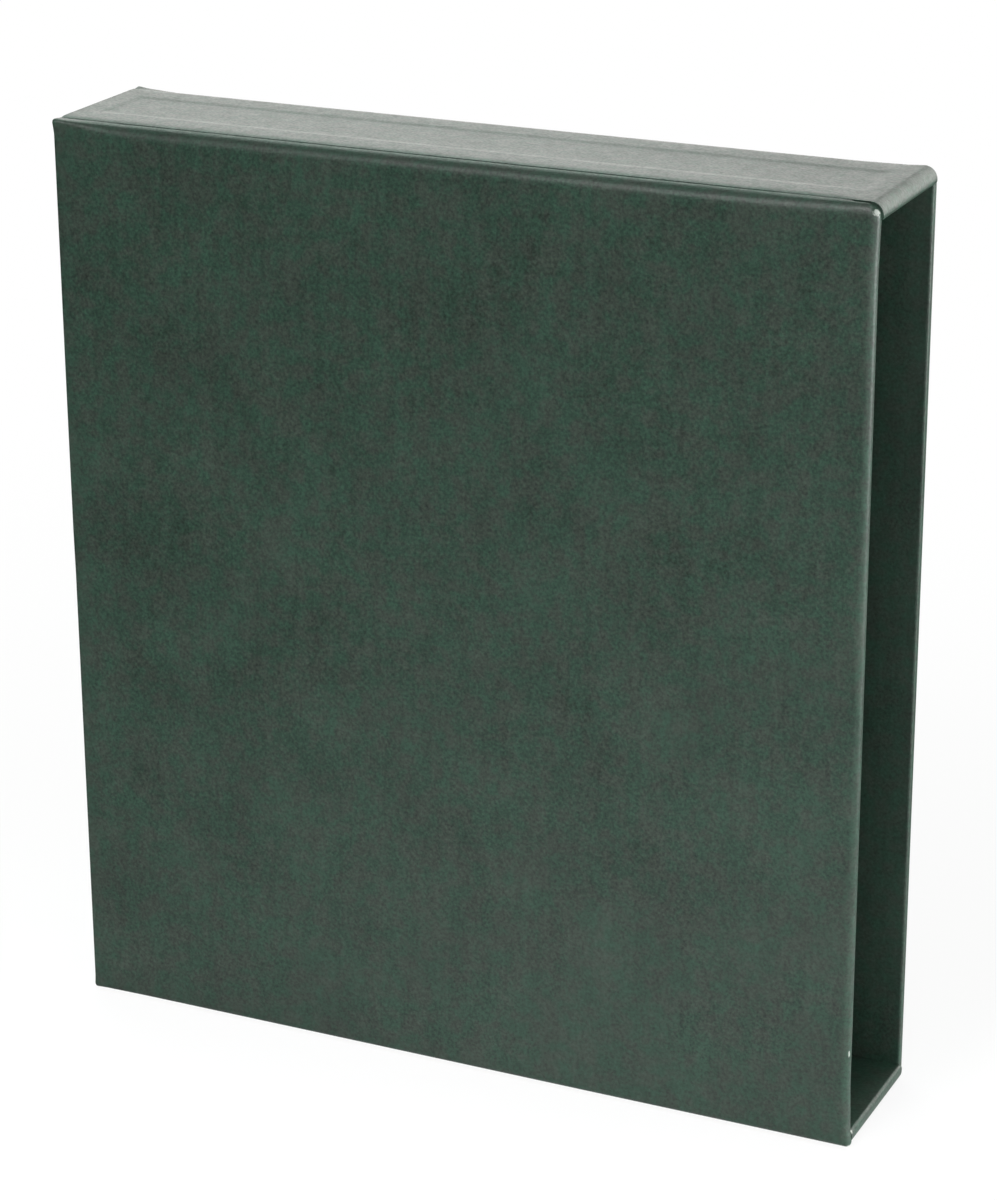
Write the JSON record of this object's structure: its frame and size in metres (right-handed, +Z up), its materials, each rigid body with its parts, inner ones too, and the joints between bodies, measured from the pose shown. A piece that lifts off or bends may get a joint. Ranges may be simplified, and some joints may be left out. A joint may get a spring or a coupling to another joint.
{
  "type": "binder slipcase",
  "caption": "Upright slipcase for a ring binder: board case covered in dark green leatherette, closed at the spine, head and foot, open along one long narrow side",
  "frame": {"origin": "middle of the footprint, on the surface that the case stands on", "axes": "+Z up, +X out of the open mouth, -X the closed spine, -Y the front panel"},
  "size_m": [0.3, 0.0584, 0.332],
  "materials": {
    "leatherette": "dark green embossed leatherette with a low sheen",
    "greyboard": "raw grey binder's board",
    "lining_paper": "matt dark green lining paper"
  },
  "bodies": {
    "root": {"front_board": "greyboard", "back_board": "greyboard", "spine_board": "greyboard", "head_board": "greyboard", "foot_board": "greyboard", "main_cover": "leatherette", "head_strip": "leatherette", "foot_strip": "leatherette", "head_mouth_band": "leatherette", "foot_mouth_band": "leatherette", "front_lining": "lining_paper", "back_lining": "lining_paper", "spine_lining": "lining_paper", "head_lining": "lining_paper", "foot_lining": "lining_paper"}
  },
  "joints": []
}
